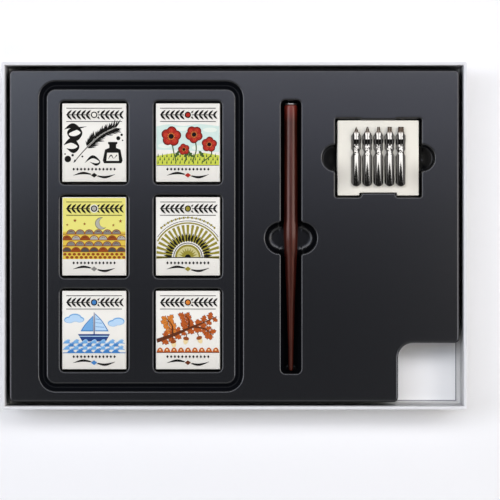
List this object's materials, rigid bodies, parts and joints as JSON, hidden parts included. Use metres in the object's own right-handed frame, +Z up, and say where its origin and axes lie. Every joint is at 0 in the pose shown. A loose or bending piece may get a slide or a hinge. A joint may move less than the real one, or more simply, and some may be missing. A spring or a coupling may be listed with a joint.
{
  "type": "calligraphy set box",
  "caption": "Open card box with a formed black tray holding cartons of ink, a wooden dip-pen holder and steel nibs; everything lifts out of its pocket.",
  "frame": {"origin": "centre of the box's underside, on the surface it stands on", "axes": "+X along the long side, +Y along the short side away from the cut-out corner, +Z up out of the box"},
  "size_m": [0.3, 0.224, 0.033],
  "materials": {
    "box_board": "white lined greyboard",
    "covering_paper": "matt white coated paper",
    "bottom_paper": "matt white paper",
    "lining_paper": "matt white paper",
    "tray_plastic": "satin black formed sheet",
    "carton_board": "coated cream carton with a printed face",
    "bottle_glass": "clear soda-lime glass",
    "ink_black": "liquid ink",
    "cap_plastic": "black moulded plastic",
    "seal_foam": "foam disc",
    "ink_red": "liquid ink",
    "ink_silver": "liquid ink",
    "ink_gold": "liquid ink",
    "ink_blue": "liquid ink",
    "ink_brown": "liquid ink",
    "pen_wood": "dark red lacquer",
    "pen_steel": "bright drawn steel",
    "nib_box_card": "uncoated cream card",
    "nib_steel": "polished plated steel"
  },
  "bodies": {
    "base": {"box_board": "box_board", "box_wrap": "covering_paper", "box_bottom_sheet": "bottom_paper", "box_floor_lining": "lining_paper"},
    "tray": {"tray": "tray_plastic"},
    "carton_black": {"carton_black": "carton_board", "bottle_black": "bottle_glass", "ink_black": "ink_black", "cap_black": "cap_plastic", "cap_seal_black": "seal_foam"},
    "carton_red": {"carton_red": "carton_board", "bottle_red": "bottle_glass", "ink_red": "ink_red", "cap_red": "cap_plastic", "cap_seal_red": "seal_foam"},
    "carton_silver": {"carton_silver": "carton_board", "bottle_silver": "bottle_glass", "ink_silver": "ink_silver", "cap_silver": "cap_plastic", "cap_seal_silver": "seal_foam"},
    "carton_gold": {"carton_gold": "carton_board", "bottle_gold": "bottle_glass", "ink_gold": "ink_gold", "cap_gold": "cap_plastic", "cap_seal_gold": "seal_foam"},
    "carton_blue": {"carton_blue": "carton_board", "bottle_blue": "bottle_glass", "ink_blue": "ink_blue", "cap_blue": "cap_plastic", "cap_seal_blue": "seal_foam"},
    "carton_brown": {"carton_brown": "carton_board", "bottle_brown": "bottle_glass", "ink_brown": "ink_brown", "cap_brown": "cap_plastic", "cap_seal_brown": "seal_foam"},
    "pen": {"pen_handle": "pen_wood", "pen_ferrule": "pen_steel", "pen_crown": "pen_steel"},
    "nib_box": {"nib_box": "nib_box_card", "nib_card": "nib_box_card"},
    "nib_1": {"nib_1": "nib_steel"},
    "nib_2": {"nib_2": "nib_steel"},
    "nib_3": {"nib_3": "nib_steel"},
    "nib_4": {"nib_4": "nib_steel"},
    "nib_5": {"nib_5": "nib_steel"}
  },
  "joints": [
    {"name": "tray_lift", "type": "slide", "parent": "base", "child": "tray", "axis": [0, 0, 1], "range_m": [0, 0.045]},
    {"name": "carton_black_lift", "type": "slide", "parent": "tray", "child": "carton_black", "axis": [0, 0, 1], "range_m": [0, 0.045]},
    {"name": "carton_red_lift", "type": "slide", "parent": "tray", "child": "carton_red", "axis": [0, 0, 1], "range_m": [0, 0.045]},
    {"name": "carton_silver_lift", "type": "slide", "parent": "tray", "child": "carton_silver", "axis": [0, 0, 1], "range_m": [0, 0.045]},
    {"name": "carton_gold_lift", "type": "slide", "parent": "tray", "child": "carton_gold", "axis": [0, 0, 1], "range_m": [0, 0.045]},
    {"name": "carton_blue_lift", "type": "slide", "parent": "tray", "child": "carton_blue", "axis": [0, 0, 1], "range_m": [0, 0.045]},
    {"name": "carton_brown_lift", "type": "slide", "parent": "tray", "child": "carton_brown", "axis": [0, 0, 1], "range_m": [0, 0.045]},
    {"name": "pen_lift", "type": "slide", "parent": "tray", "child": "pen", "axis": [0, 0, 1], "range_m": [0, 0.03]},
    {"name": "nib_box_lift", "type": "slide", "parent": "tray", "child": "nib_box", "axis": [0, 0, 1], "range_m": [0, 0.03]},
    {"name": "nib_1_lift", "type": "slide", "parent": "nib_box", "child": "nib_1", "axis": [0, 0, 1], "range_m": [0, 0.02]},
    {"name": "nib_2_lift", "type": "slide", "parent": "nib_box", "child": "nib_2", "axis": [0, 0, 1], "range_m": [0, 0.02]},
    {"name": "nib_3_lift", "type": "slide", "parent": "nib_box", "child": "nib_3", "axis": [0, 0, 1], "range_m": [0, 0.02]},
    {"name": "nib_4_lift", "type": "slide", "parent": "nib_box", "child": "nib_4", "axis": [0, 0, 1], "range_m": [0, 0.02]},
    {"name": "nib_5_lift", "type": "slide", "parent": "nib_box", "child": "nib_5", "axis": [0, 0, 1], "range_m": [0, 0.02]}
  ]
}
